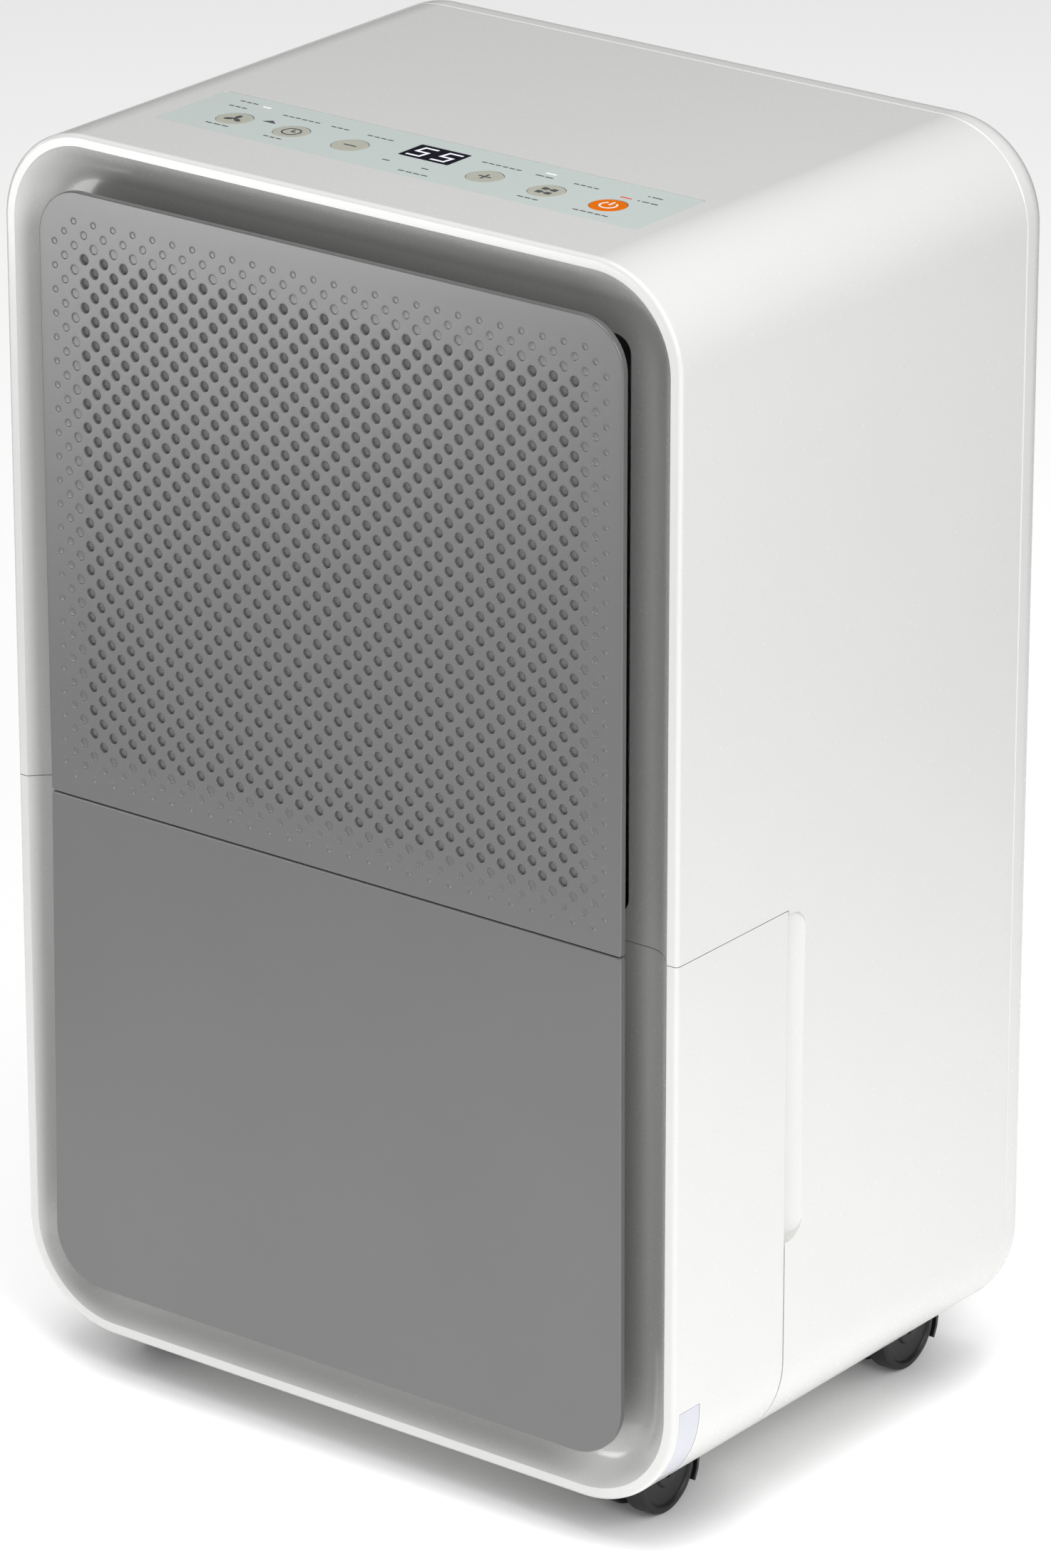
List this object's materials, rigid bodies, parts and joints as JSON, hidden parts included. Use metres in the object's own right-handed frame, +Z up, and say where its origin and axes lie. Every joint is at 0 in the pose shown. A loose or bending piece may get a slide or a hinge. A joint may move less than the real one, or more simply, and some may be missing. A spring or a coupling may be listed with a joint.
{
  "type": "dehumidifier",
  "caption": "Free-standing compressor dehumidifier: round-cornered casing, perforated front, pull-out water tank, top controls, swivel casters.",
  "frame": {"origin": "centre of the footprint on the floor, under the casters", "axes": "+X to the right seen from the front, +Y from the front to the rear, +Z up; the front faces -Y"},
  "size_m": [0.34, 0.2574, 0.548],
  "materials": {
    "white": "glossy moulded ABS",
    "grey": "satin painted plastic",
    "overlay": "printed film",
    "key": "satin",
    "orange": "satin",
    "lens": "clear dark lens",
    "window": "translucent",
    "tank": "translucent polypropylene",
    "inner": "moulded, unpainted",
    "black": "moulded nylon",
    "rubber": "matt",
    "steel": "plain",
    "painted": "satin black paint",
    "copper": "drawn copper tube",
    "fin": "bare fins",
    "board": "circuit board",
    "foam": "closed-cell foam",
    "net": "woven nylon net"
  },
  "bodies": {
    "casing": {"main_housing": "white", "intake_bezel": "white", "rear_cover": "white", "rear_grille": "white", "base_pan": "white", "control_overlay": "overlay", "display_lens": "lens", "control_board": "board", "chassis_frame": "inner", "drip_tray": "black", "evaporator_coil": "fin", "condenser_coil": "fin", "compressor": "painted", "compressor_mat": "rubber", "suction_pipe": "copper", "discharge_pipe": "copper", "capillary_tube": "copper", "fan_shroud": "inner", "motor_bracket": "inner", "fan_motor": "steel", "power_board": "board", "run_capacitor": "steel", "tank_switch": "black", "humidity_sensor": "inner", "drain_spout": "inner", "cord_inlet": "black"},
    "intake_panel": {"front_grille": "grey", "filter_frame": "inner", "filter_mesh": "net"},
    "tank": {"tank_cover": "white", "tank_panel": "grey", "tank_bucket": "tank", "tank_lid": "inner", "corner_strip_right": "window", "corner_strip_left": "window"},
    "tank_float_lever": {"tank_float": "foam"},
    "fan": {"fan_impeller": "inner"},
    "drain_plug": {"drain_cap": "rubber"},
    "fan_speed_key": {"fan_speed_button": "key"},
    "timer_key": {"timer_button": "key"},
    "minus_key": {"minus_button": "key"},
    "plus_key": {"plus_button": "key"},
    "mode_key": {"mode_button": "key"},
    "power_key": {"power_button": "orange"},
    "caster_front_left": {"caster_hood_front_left": "black", "caster_axle_front_left": "steel"},
    "wheel_front_left_outer": {"caster_wheel_front_left_outer": "rubber"},
    "wheel_front_left_inner": {"caster_wheel_front_left_inner": "rubber"},
    "caster_front_right": {"caster_hood_front_right": "black", "caster_axle_front_right": "steel"},
    "wheel_front_right_outer": {"caster_wheel_front_right_outer": "rubber"},
    "wheel_front_right_inner": {"caster_wheel_front_right_inner": "rubber"},
    "caster_rear_left": {"caster_hood_rear_left": "black", "caster_axle_rear_left": "steel"},
    "wheel_rear_left_outer": {"caster_wheel_rear_left_outer": "rubber"},
    "wheel_rear_left_inner": {"caster_wheel_rear_left_inner": "rubber"},
    "caster_rear_right": {"caster_hood_rear_right": "black", "caster_axle_rear_right": "steel"},
    "wheel_rear_right_outer": {"caster_wheel_rear_right_outer": "rubber"},
    "wheel_rear_right_inner": {"caster_wheel_rear_right_inner": "rubber"}
  },
  "joints": [
    {"name": "tank_slide", "type": "slide", "parent": "casing", "child": "tank", "axis": [0, -1, 0], "range_m": [0, 0.25]},
    {"name": "float_hinge", "type": "hinge", "parent": "tank", "child": "tank_float_lever", "pos_m": [0.13, -0.0233, 0.166], "axis": [-1, 0, 0], "range_deg": [0, 18]},
    {"name": "intake_panel_pull", "type": "slide", "parent": "casing", "child": "intake_panel", "axis": [0, -1, 0], "range_m": [0, 0.03]},
    {"name": "fan_spin", "type": "hinge", "parent": "casing", "child": "fan", "pos_m": [0, -0.0033, 0.398], "axis": [0, 1, 0], "continuous": true},
    {"name": "drain_cap_pull", "type": "slide", "parent": "casing", "child": "drain_plug", "axis": [0, 1, 0], "range_m": [0, 0.015]},
    {"name": "fan_speed_press", "type": "slide", "parent": "casing", "child": "fan_speed_key", "axis": [0, 0, -1], "range_m": [0, 0.0005], "stiffness_N_per_m": 400},
    {"name": "timer_press", "type": "slide", "parent": "casing", "child": "timer_key", "axis": [0, 0, -1], "range_m": [0, 0.0005], "stiffness_N_per_m": 400},
    {"name": "minus_press", "type": "slide", "parent": "casing", "child": "minus_key", "axis": [0, 0, -1], "range_m": [0, 0.0005], "stiffness_N_per_m": 400},
    {"name": "plus_press", "type": "slide", "parent": "casing", "child": "plus_key", "axis": [0, 0, -1], "range_m": [0, 0.0005], "stiffness_N_per_m": 400},
    {"name": "mode_press", "type": "slide", "parent": "casing", "child": "mode_key", "axis": [0, 0, -1], "range_m": [0, 0.0005], "stiffness_N_per_m": 400},
    {"name": "power_press", "type": "slide", "parent": "casing", "child": "power_key", "axis": [0, 0, -1], "range_m": [0, 0.0005], "stiffness_N_per_m": 400},
    {"name": "swivel_front_left", "type": "hinge", "parent": "casing", "child": "caster_front_left", "pos_m": [-0.1238, -0.0753, 0.03], "axis": [0, 0, 1], "continuous": true},
    {"name": "roll_front_left_outer", "type": "hinge", "parent": "caster_front_left", "child": "wheel_front_left_outer", "pos_m": [-0.1238, -0.0803, 0.0185], "axis": [1, 0, 0], "continuous": true},
    {"name": "roll_front_left_inner", "type": "hinge", "parent": "caster_front_left", "child": "wheel_front_left_inner", "pos_m": [-0.1238, -0.0803, 0.0185], "axis": [1, 0, 0], "continuous": true},
    {"name": "swivel_front_right", "type": "hinge", "parent": "casing", "child": "caster_front_right", "pos_m": [0.1238, -0.0753, 0.03], "axis": [0, 0, 1], "continuous": true},
    {"name": "roll_front_right_outer", "type": "hinge", "parent": "caster_front_right", "child": "wheel_front_right_outer", "pos_m": [0.1238, -0.0803, 0.0185], "axis": [1, 0, 0], "continuous": true},
    {"name": "roll_front_right_inner", "type": "hinge", "parent": "caster_front_right", "child": "wheel_front_right_inner", "pos_m": [0.1238, -0.0803, 0.0185], "axis": [1, 0, 0], "continuous": true},
    {"name": "swivel_rear_left", "type": "hinge", "parent": "casing", "child": "caster_rear_left", "pos_m": [-0.1238, 0.0957, 0.03], "axis": [0, 0, 1], "continuous": true},
    {"name": "roll_rear_left_outer", "type": "hinge", "parent": "caster_rear_left", "child": "wheel_rear_left_outer", "pos_m": [-0.1238, 0.0907, 0.0185], "axis": [1, 0, 0], "continuous": true},
    {"name": "roll_rear_left_inner", "type": "hinge", "parent": "caster_rear_left", "child": "wheel_rear_left_inner", "pos_m": [-0.1238, 0.0907, 0.0185], "axis": [1, 0, 0], "continuous": true},
    {"name": "swivel_rear_right", "type": "hinge", "parent": "casing", "child": "caster_rear_right", "pos_m": [0.1238, 0.0957, 0.03], "axis": [0, 0, 1], "continuous": true},
    {"name": "roll_rear_right_outer", "type": "hinge", "parent": "caster_rear_right", "child": "wheel_rear_right_outer", "pos_m": [0.1238, 0.0907, 0.0185], "axis": [1, 0, 0], "continuous": true},
    {"name": "roll_rear_right_inner", "type": "hinge", "parent": "caster_rear_right", "child": "wheel_rear_right_inner", "pos_m": [0.1238, 0.0907, 0.0185], "axis": [1, 0, 0], "continuous": true}
  ]
}
